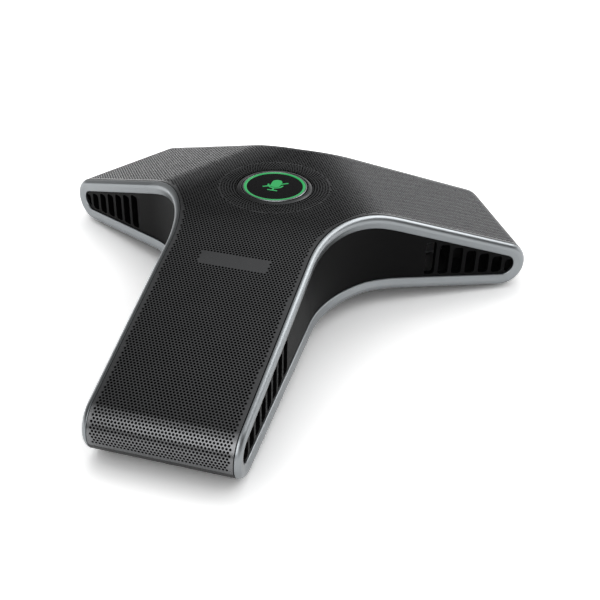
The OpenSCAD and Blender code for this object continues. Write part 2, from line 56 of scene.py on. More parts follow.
# Radius of the hollow sides, height of the hub's top, round of the noses and their lift off the table
SIDE_R = 64.0
HUB_H = 53.5
NOSE_R, NOSE_LIFT = 12.0, 2.0
# Underside: its height at the hub, and the share of an arm over which it stays level
ARCH_H, ARCH_SHARE = 9.2, 0.3
# Bend of the top: where its two straight runs would meet, and how far before that it starts
KNEE_T, KNEE_M = 37.8, 13.8
# Sheet: thickness, and height of its lower edge on the nose
SHEET_T, SHEET_LOW = 0.8, 10.4
# Rim: thickness, and the seam between it and the sheet
RIM_T, SEAM = 2.5, 0.3
# Key: radius, width of its ring and of the band in that, rise above the hub, depth and gap of ring and band
KEY_R, RING_W, BAND_W, KEY_RISE = 16.0, 2.0, 0.75, 0.4
RING_DEEP, BAND_GAP = 2.9, 0.01
# Rounding of the ring's and the band's top edges, inner and outer
RING_ROUND_IN, RING_ROUND_OUT = 0.3, 0.15
BAND_ROUND_IN, BAND_ROUND_OUT = 0.1, 0.4
# Collar: its hole, radius, rise and depth, and the gap between it and the sheet
HOLE_EDGE, COLLAR_R, COLLAR_RISE, COLLAR_DEEP = 16.5, 18.8, 0.2, 0.9
COLLAR_GAP = 0.15
COLLAR_OUT = COLLAR_R + COLLAR_GAP
# How far the collar's top falls outwards and the power of its curve, and its inner rounding
COLLAR_FALL, COLLAR_POWER, COLLAR_ROUND = 0.7, 1.6, 0.3

# Perforation: pitch along a row, hole radius and corners, the web and least hole next to the rings
PITCH, HOLE_R, HOLE_SIDES = 1.5, 0.56, 12
HOLE_WEB, HOLE_LEAST = 0.1, 0.22
# Plain borders at the sides and at the noses
EDGE_PLAIN, NOSE_PLAIN = 1.7, 1.8
# Rings of holes round the key
RING_COUNT, RING_STEP, RING_HOLES = 6, 1.36, 100
RING_OUT = COLLAR_OUT + RING_COUNT * RING_STEP
# Flat lattice: half width, lowest and highest row, radius kept, and spare columns for the stagger
LATTICE_X, LATTICE_LOW, LATTICE_HIGH, LATTICE_R = 135.0, -190.0, 120.0, 190.0
LATTICE_SPARE = 80
# Its sectors are stretched to the real ones near the hub; this ends so far out, and fades over this length
STRETCH_OUT, STRETCH_FADE = 70.0, 50.0
# Only points nearer along an arm than this can be near the rings
HUB_NEAR = 40.0
# Distances along each arm at which its sheet is parted
SHEET_CUTS = {"front": (72.0, 118.0), "right": (72.0,), "left": (72.0,)}
# Bare plate on the front arm: half width, and its two ends along the arm
PLATE_HALF, PLATE_NEAR, PLATE_FAR = 16.2, 60.0, 67.6

# Points on a rim's loop: round a nose, along a top, along an underside and round the hollow side
NOSE_POINTS, TOP_POINTS, UNDER_POINTS, BAY_POINTS = 30, 44, 26, 40
# Vertices nearer than this, in metres, are merged
WELD_GAP = 1e-7
# Least distance from the hub axis that is divided by
TINY = 1e-6

MM = 0.001
REAR_REACH = (REAR_LEN * math.sin(ARM_ANGLE - math.pi / 2)
              + ARM_W / 2 * math.cos(ARM_ANGLE - math.pi / 2))
HUB_Y = (FRONT_LEN - REAR_REACH) / 2
ARM_TURNS = [-math.pi / 2, ARM_ANGLE - math.pi / 2, -ARM_ANGLE - math.pi / 2]
ARM_LENS = [FRONT_LEN, REAR_LEN, REAR_LEN]
BAYS = [(0, 1), (1, 2), (2, 0)]


def unit(angle):
    """Unit vector at an angle in the plan."""
    return np.array([math.cos(angle), math.sin(angle)])


def left_of(v):
    """Vector turned a quarter to the left."""
    return np.array([-v[1], v[0]])


class Profile:
    """Side view of an arm: level top, a bend, a slope that touches the nose circle, and the nose."""

    def __init__(self, length):
        self.length = length
        self.nose = np.array([length - NOSE_R, NOSE_LIFT + NOSE_R])
        run, fall = self.nose[0] - KNEE_T, HUB_H - self.nose[1]
        self.slope = math.atan2(fall, run) - math.asin(NOSE_R / math.hypot(run, fall))
        self.bend_r = KNEE_M / math.tan(self.slope / 2)
        self.bend_t = KNEE_T - KNEE_M
        self.bend_end = self.bend_t + self.bend_r * math.sin(self.slope)
        nose_start = self.nose[0] + NOSE_R * math.sin(self.slope)
        self.marks = np.cumsum([self.bend_t, self.bend_r * self.slope,
                                (nose_start - self.bend_end) / math.cos(self.slope)])
        low_angle = math.acos((SHEET_LOW - self.nose[1]) / NOSE_R)
        self.sheet_end = self.marks[2] + NOSE_R * (low_angle - self.slope)
        run, fall = self.nose[0] - ARCH_SHARE * length, ARCH_H - self.nose[1]
        self.under_slope = math.atan2(fall, run) + math.asin(NOSE_R / math.hypot(run, fall))

    def tilt(self, run):
        """Angle of the top's normal from upright at a distance run along the surface."""
        level, _, slope = self.marks
        on_bend = np.clip((run - level) / self.bend_r, 0, self.slope)
        return on_bend + np.maximum(run - slope, 0) / NOSE_R

    def point(self, run, inset=0.0):
        """Distance from the hub axis and height, run along the top surface and inset below it."""
        level, bend, slope = self.marks
        tilt = self.tilt(run)
        on_bend = np.clip((run - level) / self.bend_r, 0, self.slope)
        on_slope = np.clip(run - bend, 0, slope - bend)
        on_nose = tilt - on_bend
        t = np.minimum(run, level) + self.bend_r * np.sin(on_bend) + on_slope * math.cos(self.slope)
        z = HUB_H - self.bend_r * (1 - np.cos(on_bend)) - on_slope * math.sin(self.slope)
        end = self.slope + on_nose
        t = t + NOSE_R * (np.sin(end) - math.sin(self.slope))
        z = z + NOSE_R * (np.cos(end) - math.cos(self.slope))
        return t - inset * np.sin(tilt), z - inset * np.cos(tilt)

    def run_at(self, t):
        """Distance along the surface at which the top is t from the hub axis, short of the nose."""
        on_bend = np.arcsin(np.clip((t - self.bend_t) / self.bend_r, 0, math.sin(self.slope)))
        on_slope = np.maximum(t - self.bend_end, 0) / math.cos(self.slope)
        return np.minimum(t, self.bend_t) + self.bend_r * on_bend + on_slope

    def under(self, t, inset=0.0):
        """Height of the underside: level at the hub, then falling towards the nose."""
        corner = ARCH_SHARE * self.length + inset * math.tan(self.under_slope / 2)
        return ARCH_H + inset - np.maximum(t - corner, 0) * math.tan(self.under_slope)


PROFILES = [Profile(length) for length in ARM_LENS]


def bay_centre(bay):
    """Centre of the arc between two arms, which touches the side lines of both."""
    rows, reach = [], []
    for arm, side in zip(BAYS[bay], (1, -1)):
        turn = ARM_TURNS[arm]
        normal = side * left_of(unit(turn - side * ARM_TAPER))
        half = ARM_W / 2 + ARM_LENS[arm] * math.tan(ARM_TAPER)
        rows.append(normal)
        reach.append(SIDE_R + side * half * left_of(unit(turn)) @ normal)
    return np.linalg.solve(np.array(rows), np.array(reach))


BAY_CENTRES = [bay_centre(bay) for bay in range(3)]


def side_bay(arm, side):
    """Bay on one side of an arm."""
    return arm if side > 0 else (arm - 1) % 3


def half_width(arm, side, t, inset):
    """Half width of the plan at t along an arm: the straight side, or the arc of the bay near the hub."""
    centre = BAY_CENTRES[side_bay(arm, side)]
    along = unit(ARM_TURNS[arm])
    ct, cs = centre @ along, side * (centre @ left_of(along))
    line = ARM_W / 2 + (ARM_LENS[arm] - t) * math.tan(ARM_TAPER) - inset / math.cos(ARM_TAPER)
    r = SIDE_R + inset
    touch = ct - r * math.sin(ARM_TAPER)
    arc = cs - np.sqrt(np.maximum(r * r - (t - ct) ** 2, 0))
    return np.where(t > touch, line, arc)


def sector(p, turns):
    """Index of the arm whose direction is nearest to each point of the plan."""
    return np.argmax(np.stack([p @ unit(a) for a in turns], -1), -1)


# Meshes from arrays

def make_mesh(name, verts, faces):
    """Object from vertices in millimetres about the hub and face arrays, each of one width."""
    mesh = bpy.data.meshes.new(name)
    co = (np.asarray(verts, float) + [0, HUB_Y, 0]) * MM
    faces = [np.asarray(f, np.int64) for f in faces if len(f)]
    totals = np.concatenate([np.full(len(f), f.shape[1]) for f in faces])
    loops = np.concatenate([f.ravel() for f in faces])
    mesh.vertices.add(len(co))
    mesh.vertices.foreach_set("co", co.astype(np.float32).ravel())
    mesh.loops.add(len(loops))
    mesh.loops.foreach_set("vertex_index", loops.astype(np.int32))
    mesh.polygons.add(len(totals))
    starts = np.concatenate([[0], np.cumsum(totals)[:-1]])
    mesh.polygons.foreach_set("loop_start", starts.astype(np.int32))
    mesh.update(calc_edges=True)
    mesh.validate()
    obj = bpy.data.objects.new(name, mesh)
    bpy.context.scene.collection.objects.link(obj)
    return obj


def weld_and_smooth(obj, angle=40):
    """Merges vertices that coincide and shades smoothly, apart from edges sharper than the angle."""
    bm = bmesh.new()
    bm.from_mesh(obj.data)
    bmesh.ops.remove_doubles(bm, verts=bm.verts, dist=WELD_GAP)
    bmesh.ops.dissolve_degenerate(bm, edges=bm.edges, dist=WELD_GAP)
    bm.to_mesh(obj.data)
    bm.free()
    obj.data.polygons.foreach_set("use_smooth", np.ones(len(obj.data.polygons), bool))
    obj.data.set_sharp_from_angle(angle=math.radians(angle))
    return obj


def face_out(obj):
    """Turns the faces of a closed piece outwards."""
    bm = bmesh.new()
    bm.from_mesh(obj.data)
    bmesh.ops.recalc_face_normals(bm, faces=bm.faces)
    bm.to_mesh(obj.data)
    bm.free()


def closed_rings(name, rings, angle):
    """Closed piece from a grid of points that runs round on itself both ways, sharp past the angle."""
    count, width = rings.shape[:2]
    i, j = np.meshgrid(np.arange(count), np.arange(width), indexing="ij")
    here, ahead = i * width, (i + 1) % count * width
    beside = (j + 1) % width
    faces = np.stack([here + j, here + beside, ahead + beside, ahead + j], -1).reshape(-1, 4)
    obj = weld_and_smooth(make_mesh(name, rings.reshape(-1, 3), [faces]), angle)
    face_out(obj)
    return obj


def thicken(verts, normals, faces, depth):
    """Closed sheet: the faces, a reversed copy at depth below them, and a wall on every open edge."""
    count = len(verts)
    edges = np.concatenate([
        np.stack([f, np.roll(f, -1, 1)], -1).reshape(-1, 2) for f in faces])
    key = edges[:, 0] * count + edges[:, 1]
    back = edges[:, 1] * count + edges[:, 0]
    rim = edges[~np.isin(key, back)]
    walls = np.stack([rim[:, 0], rim[:, 0] + count, rim[:, 1] + count, rim[:, 1]], -1)
    under = [f[:, ::-1] + count for f in faces]
    return np.concatenate([verts, verts - depth * normals]), [*faces, *under, walls]


def piece(obj, body, material, node):
    """Names what a new piece rides on, its finish and the solid that it stands for."""
    obj.data.materials.append(material)
    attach(obj, body)
    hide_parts(node)


# Perforated sheet

LATTICE_TURNS = [-math.pi / 2, math.pi / 6, math.pi * 5 / 6]


def sheet_point(arm, run, across):
    """Point and normal on the sheet, at a distance along and across one arm."""
    pos, nor = np.zeros(run.shape + (3,)), np.zeros(run.shape + (3,))
    for a in range(3):
        m = arm == a
        t, z = PROFILES[a].point(run[m])
        tilt = PROFILES[a].tilt(run[m])
        along, left = unit(ARM_TURNS[a]), left_of(unit(ARM_TURNS[a]))
        pos[m] = np.c_[t[:, None] * along + across[m][:, None] * left, z]
        nor[m] = np.c_[np.sin(tilt)[:, None] * along, np.cos(tilt)]
    return pos, nor


def hub_distance(run, across):
    """Distance of points from the hub axis on the level top; points out on an arm count as far away."""
    return np.where(run < HUB_NEAR, np.hypot(run, across), np.inf)


def lay_lattice(p):
    """Lays points of the flat lattice on the sheet: along an arm by length of surface, across it by width.

    The lattice has arms at exact thirds of a turn; near the hub its sectors stretch to the real ones.
    Points past an edge move onto it. Gives the arm, the two distances, and which points were moved.
    """
    arm = sector(p, LATTICE_TURNS)
    along = np.stack([unit(a) for a in LATTICE_TURNS])[arm]
    left = np.stack([left_of(unit(a)) for a in LATTICE_TURNS])[arm]
    run, across = (p * along).sum(-1), (p * left).sum(-1)
    fade = np.clip((STRETCH_OUT - run) / STRETCH_FADE, 0, 1)
    fade = fade * fade * (3 - 2 * fade)
    moved = np.zeros(run.shape, bool)
    for a in range(3):
        end = PROFILES[a].sheet_end
        m = (arm == a) & (run > end)
        run[m], moved[m] = end, True
        for side in (1, -1):
            other = BAYS[side_bay(a, side)][0 if side < 0 else 1]
            between = (ARM_TURNS[other] - ARM_TURNS[a]) % (2 * math.pi)
            between = min(between, 2 * math.pi - between)
            stretch = math.tan(between / 2) / math.tan(math.pi / 3) - 1
            m = (arm == a) & (side * across > 0)
            s = np.abs(across[m]) * (1 + stretch * fade[m])
            t, _ = PROFILES[a].point(run[m])
            limit = half_width(a, side, t, RIM_T + SEAM)
            moved[m] |= s > limit
            across[m] = side * np.minimum(s, limit)
    r = hub_distance(run, across)
    inner = r < RING_OUT
    scale = np.where(inner, RING_OUT / np.maximum(r, TINY), 1.0)
    return arm, run * scale, across * scale, moved | inner


def edge_room(arm, run, across):
    """Distance from points of the sheet to its side edge."""
    room = np.zeros(run.shape)
    for a in range(3):
        for side in (1, -1):
            m = (arm == a) & (side * across >= 0)
            t, _ = PROFILES[a].point(run[m])
            room[m] = half_width(a, side, t, RIM_T + SEAM) - np.abs(across[m])
    return room


def hole_ring():
    """Corners of a hole about its centre, starting at the hexagon's first corner."""
    turn = math.pi / 6 + np.arange(HOLE_SIDES) * 2 * math.pi / HOLE_SIDES
    return HOLE_R * np.stack([np.cos(turn), np.sin(turn)], -1)


def perforated_lattice():
    """Sheet of six-sided cells on a staggered lattice, each with a round hole where the sheet has one.

    Holes next to the rings round the key are smaller where a full one doesn't fit.

    Gives for each cell its six corners, its arm, its distance along it, and whether it has a hole; then
    the corner points of all cells and, for the cells with holes, the points round the hole.
    """
    a1, a2 = np.array([PITCH, 0]), np.array([PITCH / 2, PITCH * math.sqrt(3) / 2])
    j = np.arange(int(LATTICE_LOW / a2[1]) - 2, int(LATTICE_HIGH / a2[1]) + 3)
    reach = int(LATTICE_X / PITCH) + LATTICE_SPARE
    i = np.arange(-reach, reach)
    gi, gj = np.meshgrid(i, j, indexing="ij")
    base = gi[..., None] * a1 + gj[..., None] * a2
    corners = np.stack([base + (a1 + a2) / 3, base + (a1 + a2) * 2 / 3], 2)
    index = np.arange(corners[..., 0].size).reshape(corners.shape[:3])
    up, down = index[..., 0], index[..., 1]
    inner = (slice(1, -1), slice(1, -1))

    def shifted(grid, di, dj):
        return np.roll(grid, (-di, -dj), (0, 1))[inner].ravel()

    cells = np.stack([
        shifted(up, 0, 0), shifted(down, -1, 0), shifted(up, -1, 0),
        shifted(down, -1, -1), shifted(up, 0, -1), shifted(down, 0, -1)], -1)
    centres = base[inner].reshape(-1, 2)
    near = np.hypot(*centres.T) < LATTICE_R
    cells, centres = cells[near], centres[near]
    flat = corners.reshape(-1, 2)
    arm, run, across, moved = lay_lattice(flat)
    keep = ~moved[cells].all(1)
    cells, centres = cells[keep], centres[keep]
    c_arm, c_run, c_across, c_moved = lay_lattice(centres)
    ends = np.array([p.sheet_end for p in PROFILES])[c_arm]
    room = edge_room(c_arm, c_run, c_across)
    holed = ~c_moved & (room > EDGE_PLAIN) & (c_run < ends - NOSE_PLAIN)
    size = np.minimum(hub_distance(c_run, c_across) - RING_OUT - HOLE_WEB, HOLE_R)
    holed &= size > HOLE_LEAST
    plate = (c_arm == 0) & (np.abs(c_across) < PLATE_HALF)
    plate &= (c_run > PROFILES[0].run_at(PLATE_NEAR)) & (c_run < PROFILES[0].run_at(PLATE_FAR))
    holed &= ~plate
    pos, nor = sheet_point(arm, run, across)
    rings = centres[holed][:, None] + hole_ring() * (size[holed] / HOLE_R)[:, None, None]
    h_arm, h_run, h_across, _ = lay_lattice(rings.reshape(-1, 2))
    h_pos, h_nor = sheet_point(h_arm, h_run, h_across)
    return cells, c_arm, c_run, holed, pos, nor, h_pos, h_nor


def cell_faces(cells, holes):
    """Five-sided faces between each six-sided cell and the twelve corners of its hole."""
    faces = []
    for k in range(6):
        ring = [holes[:, (2 * k + d) % HOLE_SIDES] for d in (2, 1, 0)]
        faces.append(np.stack([cells[:, k], cells[:, (k + 1) % 6], *ring], -1))
    return np.concatenate(faces)


def sheet_piece(name, verts, normals, faces):
    """One closed piece of the sheet from the faces of its upper side."""
    used, flat = np.unique(np.concatenate([f.ravel() for f in faces]), return_inverse=True)
    cuts = np.cumsum([f.size for f in faces])[:-1]
    faces = [f.reshape(o.shape) for f, o in zip(np.split(flat, cuts), faces)]
    solid, walls = thicken(verts[used], normals[used], faces, SHEET_T)
    obj = make_mesh(name, solid, walls)
    # Depth into the sheet, 0 on top and 1 underneath, which the finish uses to paint shade down the hole
    # walls
    depth = obj.data.attributes.new("depth", "FLOAT", "POINT")
    depth.data.foreach_set("value", np.repeat([0.0, 1.0], len(used)).astype(np.float32))
    return weld_and_smooth(obj)


def grille_arms(material):
    """The sheet on the three arms, in pieces that meet along rows of cells."""
    cells, arm, run, holed, pos, nor, h_pos, h_nor = perforated_lattice()
    verts, normals = np.concatenate([pos, h_pos]), np.concatenate([nor, h_nor])
    holes = np.full((len(cells), HOLE_SIDES), -1)
    holes[holed] = len(pos) + np.arange(holed.sum() * HOLE_SIDES).reshape(-1, HOLE_SIDES)
    for a, (word, cuts) in enumerate(SHEET_CUTS.items()):
        part = np.searchsorted(cuts, run)
        for k, place in enumerate(("root", "middle", "end")[-len(cuts) - 1:]):
            m = (arm == a) & (part == k)
            faces = [cell_faces(cells[m & holed], holes[m & holed]), cells[m & ~holed]]
            obj = sheet_piece(f"grille_{word}_{place}", verts, normals, faces)
            piece(obj, "housing", material, "grille")


def grille_rings(material):
    """The sheet round the key: rings of holes on a polar grid, each ring half a step on from the last."""
    count = 2 * RING_HOLES
    k, n = np.meshgrid(np.arange(RING_COUNT + 1), np.arange(count), indexing="ij")
    r, turn = COLLAR_OUT + k * RING_STEP, n * 2 * math.pi / count

    def surface(r, turn):
        p = np.stack([r * np.cos(turn), r * np.sin(turn)], -1).reshape(-1, 2)
        arm = sector(p, ARM_TURNS)
        run, across = np.zeros(len(p)), np.zeros(len(p))
        for a in range(3):
            m, along = arm == a, unit(ARM_TURNS[a])
            run[m], across[m] = PROFILES[a].run_at(p[m] @ along), p[m] @ left_of(along)
        return sheet_point(arm, run, across)

    pos, nor = surface(r, turn)
    row, col = np.meshgrid(np.arange(RING_COUNT), np.arange(RING_HOLES), indexing="ij")
    col = (2 * col + row % 2).ravel()
    row = row.ravel()

    def corner(dr, dn):
        return (row + dr) * count + (col + dn) % count

    cells = np.stack([corner(1, 0), corner(1, 1), corner(0, 1),
                      corner(0, 0), corner(0, -1), corner(1, -1)], -1)
    mid_r = (COLLAR_OUT + (row + 0.5) * RING_STEP)[:, None]
    mid_turn = (col * 2 * math.pi / count)[:, None]
    spin = np.arange(HOLE_SIDES) * 2 * math.pi / HOLE_SIDES
    x = mid_r + HOLE_R * np.cos(spin)
    y = HOLE_R * np.sin(spin)
    h_pos, h_nor = surface(np.hypot(x, y), mid_turn + np.arctan2(y, x))
    holes = len(pos) + np.arange(len(cells) * HOLE_SIDES).reshape(-1, HOLE_SIDES)
    verts, normals = np.concatenate([pos, h_pos]), np.concatenate([nor, h_nor])
    obj = sheet_piece("grille_ring", verts, normals, [cell_faces(cells, holes)])
    piece(obj, "housing", material, "grille")


# Rims round the three sides

def rim_section():
    """Closed section of a rim as (depth in from the side, depth in from the skin), round the outside."""
    return np.array([
        (2.5, 0.3), (2.42, 0.12), (2.25, 0.08), (1.95, 0.16), (1.55, 0.32), (1.2, 0.52), (0.87, 0.75),
        (0.57, 1.02), (0.32, 1.32), (0.13, 1.65), (0.03, 1.95), (0.0, 2.2), (0.0, 2.9), (0.0, 3.15),
        (0.02, 3.3), (0.08, 3.48), (0.17, 3.8), (0.68, 5.9), (0.76, 6.15), (0.86, 6.36), (1.0, 6.47),
        (1.2, 6.5), (2.5, 6.5), (2.5, 4.5), (2.5, 2.5)])


def rim_loop(bay, off, depth):
    """Points of a loop round one side, for one depth in from the side and one in from the skin.

    The loop runs round the first arm's nose, along the top to the bay's arc and the second arm,
    round its nose, and back along the underside.
    """
    first, second = BAYS[bay]
    centre = BAY_CENTRES[bay]
    radius = SIDE_R + off

    def on_arm(arm, side, t, z):
        along = unit(ARM_TURNS[arm])
        half = half_width(arm, side, t, off)
        return np.c_[t[:, None] * along + side * half[:, None] * left_of(along), z]

    def nose(arm, side, angles):
        c, r = PROFILES[arm].nose, NOSE_R - depth
        return on_arm(arm, side, c[0] + r * np.sin(angles), c[1] + r * np.cos(angles))

    def arc():
        turns = []
        for arm, side in ((first, 1), (second, -1)):
            normal = -side * left_of(unit(ARM_TURNS[arm] - side * ARM_TAPER))
            turns.append(math.atan2(normal[1], normal[0]))
        span = (turns[1] - turns[0] + math.pi) % (2 * math.pi) - math.pi
        turn = turns[0] + span * np.linspace(0, 1, BAY_POINTS)
        return centre + radius * np.stack([np.cos(turn), np.sin(turn)], -1)

    def over(p):
        heights = []
        for arm in (first, second):
            prof = PROFILES[arm]
            run = prof.run_at(p @ unit(ARM_TURNS[arm]))
            heights.append(prof.point(run)[1] - depth / np.cos(prof.tilt(run)))
        return np.minimum(*heights)

    def below(p):
        return np.minimum(*[PROFILES[a].under(p @ unit(ARM_TURNS[a]), depth) for a in (first, second)])

    loop = []
    for arm, side in ((first, 1), (second, -1)):
        prof = PROFILES[arm]
        touch = centre @ unit(ARM_TURNS[arm]) - radius * math.sin(ARM_TAPER)
        low = math.pi + prof.under_slope
        turn = np.linspace(low, prof.slope, NOSE_POINTS)[:-1]
        run = np.linspace(prof.marks[2], prof.run_at(touch), TOP_POINTS)[:-1]
        t_low = prof.nose[0] + (NOSE_R - depth) * math.sin(low)
        under_t = np.linspace(touch, t_low, UNDER_POINTS)[1:-1]
        rise = [nose(arm, side, turn), on_arm(arm, side, *prof.point(run, depth))]
        sink = on_arm(arm, side, under_t, prof.under(under_t, depth))
        loop.append((np.concatenate(rise), sink))
    bow = arc()
    upper = np.c_[bow, over(bow)]
    lower = np.c_[bow[::-1], below(bow[::-1])]
    return np.concatenate([loop[0][0], upper, loop[1][0][::-1], loop[1][1][::-1], lower, loop[0][1]])


def rim(bay, name, material):
    """Rim: its section carried round the loop of one side."""
    rings = np.stack([rim_loop(bay, off, depth) for off, depth in rim_section()], 1)
    obj = closed_rings(f"{name}_loop", rings, 50)
    piece(obj, "housing", material, name)


# Key

def turned(name, profile, count=128):
    """Closed profile of (radius, height) turned about the hub axis."""
    turn = np.arange(count)[:, None] * 2 * math.pi / count
    r, z = profile.T
    rings = np.stack([r * np.cos(turn), r * np.sin(turn), np.broadcast_to(z, (count, len(z)))], -1)
    return closed_rings(name, rings, 45)


def rounded(corner, radius, start, end, count=6):
    """Points of a round about a corner's centre, between two angles in degrees."""
    turn = np.radians(np.linspace(start, end, count))
    return np.stack([corner[0] + radius * np.cos(turn), corner[1] + radius * np.sin(turn)], -1)


def hoop(name, inner, outer, low, top, round_in, round_out):
    """Ring about the hub axis with an oblong section, its two top edges rounded."""
    return turned(name, np.concatenate([
        [(inner, low), (outer, low)],
        rounded((outer - round_out, top - round_out), round_out, 0, 90),
        rounded((inner + round_in, top - round_in), round_in, 90, 180)]))


# Finishes

# How many times wider than the grain the mottling of the colour is, and the grain's lift in metres
MOTTLE, GRAIN_LIFT = 14, 0.0002
# Share of the sheet's thickness over which the wall of a hole is painted dark, and how dark: painted shade
# down the holes
HOLE_SHADE_DEPTH, HOLE_SHADE_TONE = 0.3, 0.004


def add_node(tree, kind, **put):
    """New shader node with the named inputs set."""
    node = tree.nodes.new(kind)
    for key, value in put.items():
        node.inputs[key].default_value = value
    return node


def scaled(tree, value, start, end, low, high, way="LINEAR"):
    """Socket that goes from low to high as a value goes from start to end."""
    node = tree.nodes.new("ShaderNodeMapRange")
    node.interpolation_type = way
    for key, number in zip(("From Min", "From Max", "To Min", "To Max"), (start, end, low, high)):
        node.inputs[key].default_value = number
    tree.links.new(value, node.inputs["Value"])
    return node.outputs["Result"]


def finish(name, color, rough, metal=0.0, spec=0.5, grain=900.0, shade=0.12, bump=0.06, spread=0.05,
           edge=1.0, glow=None, painted_hole_shade=False):
    """Finish with fine mottling: noise on object coordinates varies the colour, gloss and surface.

    The shade and the spread are how far colour and roughness vary. The edge is how much of its gloss a
    metal keeps when it is seen along the surface. With painted hole shade, the colour is painted dark down
    the walls of the sheet's holes: painted shade in the holes.
    """
    mat = bpy.data.materials.new(name)
    mat.use_nodes = True
    tree = mat.node_tree
    new, link = partial(add_node, tree), tree.links.new
    out = tree.nodes["Principled BSDF"]
    place = new("ShaderNodeTexCoord")
    fine = new("ShaderNodeTexNoise", Scale=grain, Detail=3.0, Roughness=0.6)
    wide = new("ShaderNodeTexNoise", Scale=grain / MOTTLE, Detail=2.0)
    for noise in (fine, wide):
        link(place.outputs["Object"], noise.inputs["Vector"])
    tone = new("ShaderNodeMix")
    tone.data_type = "RGBA"
    tone.inputs["A"].default_value = (*[c * (1 - shade) for c in color], 1)
    tone.inputs["B"].default_value = (*[min(1, c * (1 + shade)) for c in color], 1)
    link(wide.outputs["Fac"], tone.inputs["Factor"])
    tint = tone.outputs["Result"]
    # Painted shade: the colour goes dark down the walls of the holes, by depth into the sheet
    if painted_hole_shade:
        deep, dark = new("ShaderNodeAttribute"), new("ShaderNodeMix")
        deep.attribute_name, dark.data_type = "depth", "RGBA"
        dark.inputs["B"].default_value = (HOLE_SHADE_TONE, HOLE_SHADE_TONE, HOLE_SHADE_TONE, 1)
        link(scaled(tree, deep.outputs["Fac"], 0, HOLE_SHADE_DEPTH, 0, 1), dark.inputs["Factor"])
        link(tint, dark.inputs["A"])
        tint = dark.outputs["Result"]
    link(tint, out.inputs["Base Color"])
    link(scaled(tree, fine.outputs["Fac"], 0, 1, rough - spread, rough + spread), out.inputs["Roughness"])
    relief = new("ShaderNodeBump", Strength=bump, Distance=GRAIN_LIFT)
    link(fine.outputs["Fac"], relief.inputs["Height"])
    link(relief.outputs["Normal"], out.inputs["Normal"])
    out.inputs["Metallic"].default_value = metal
    out.inputs["Specular IOR Level"].default_value = spec
    out.inputs["Specular Tint"].default_value = (edge, edge, edge, 1)
    if glow:
        out.inputs["Emission Color"].default_value = (*glow, 1)
        out.inputs["Emission Strength"].default_value = 1.0
    return mat


# Grille paint, with painted shade down the walls of its holes
grille_paint = finish("grille_paint", (0.15, 0.152, 0.156), 0.28, metal=1.0, grain=1500, bump=0.05, edge=0.72,
                      painted_hole_shade=True)
collar_paint = finish("collar_paint", (0.08, 0.081, 0.083), 0.33, metal=1.0, grain=1500, bump=0.05)
rim_satin = finish("rim_satin", (0.245, 0.26, 0.27), 0.3, metal=1.0, grain=2600, shade=0.04)
panel_black = finish("panel_black", (0.004, 0.004, 0.0042), 0.44, grain=2200, bump=0.15, spec=0.045)
cover_black = finish("cover_black", (0.004, 0.004, 0.0045), 0.75, grain=1800, bump=0.2, spec=0.15)
base_grey = finish("base_grey", (0.018, 0.0183, 0.0188), 0.5, grain=2200, bump=0.2, spec=0.3)
key_gloss = finish("key_gloss", (0.004, 0.004, 0.0045), 0.14, grain=500, bump=0.01, spread=0.02, spec=0.22)
key_green = finish("key_green", (0.006, 0.08, 0.025), 0.3, grain=700, bump=0.02, glow=(0.018, 0.33, 0.085))
board_mask = finish("board_mask", (0.01, 0.07, 0.03), 0.35, grain=600)
foot_rubber = finish("foot_rubber", (0.02, 0.02, 0.02), 0.85, grain=1500, bump=0.3)
plain_steel = finish("plain_steel", (0.5, 0.5, 0.52), 0.35, metal=1.0, grain=1500)
pale_moulding = finish("pale_moulding", (0.7, 0.7, 0.66), 0.5)
grey_moulding = finish("grey_moulding", (0.16, 0.165, 0.17), 0.5)

SLOT_FINISH = {
    "grille_metal": collar_paint, "rim_metal": rim_satin, "black_plastic": panel_black,
    "key_black": key_gloss, "key_green": key_green, "board": board_mask, "rubber": foot_rubber,
    "steel": plain_steel, "pale_plastic": pale_moulding, "grey_plastic": grey_moulding}
for part in frame["record"]["subparts"]:
    mesh = nodes[part["node"]].data
    mesh.materials.clear()
    mesh.materials.append(SLOT_FINISH[part["material_slot"]])
for name, look in (("top_cover", cover_black), ("base_cover", base_grey)):
    nodes[name].data.materials[0] = look

grille_arms(grille_paint)
grille_rings(grille_paint)
for bay, word in enumerate(("right", "rear", "left")):
    rim(bay, f"rim_{word}", rim_satin)

# Key ring: green inside, with a thin bright band round it
ring_in, ring_mid = KEY_R - RING_W, KEY_R - BAND_W
ring_low, ring_top = HUB_H - RING_DEEP, HUB_H + KEY_RISE
light_ring = hoop("light_ring", ring_in, ring_mid, ring_low, ring_top, RING_ROUND_IN, RING_ROUND_OUT)
piece(light_ring, "mute_key", key_green, "key_light_ring")
ring_band = hoop("ring_band", ring_mid + BAND_GAP, KEY_R, ring_low, ring_top, BAND_ROUND_IN, BAND_ROUND_OUT)
piece(ring_band, "mute_key", rim_satin, "key_light_ring")

# Collar round the key, falling away outwards
collar_low, collar_top = HUB_H - COLLAR_DEEP, HUB_H + COLLAR_RISE
collar_in = HOLE_EDGE + COLLAR_ROUND
way_in = np.linspace(0, 1, 13)
collar = turned("collar", np.concatenate([
    [(HOLE_EDGE, collar_low), (COLLAR_R, collar_low)],
    np.stack([COLLAR_R - way_in * (COLLAR_R - collar_in),
              collar_top - COLLAR_FALL * (1 - way_in) ** COLLAR_POWER], -1),
    rounded((collar_in, collar_top - COLLAR_ROUND), COLLAR_ROUND, 105, 180)]))
piece(collar, "housing", collar_paint, "key_collar")

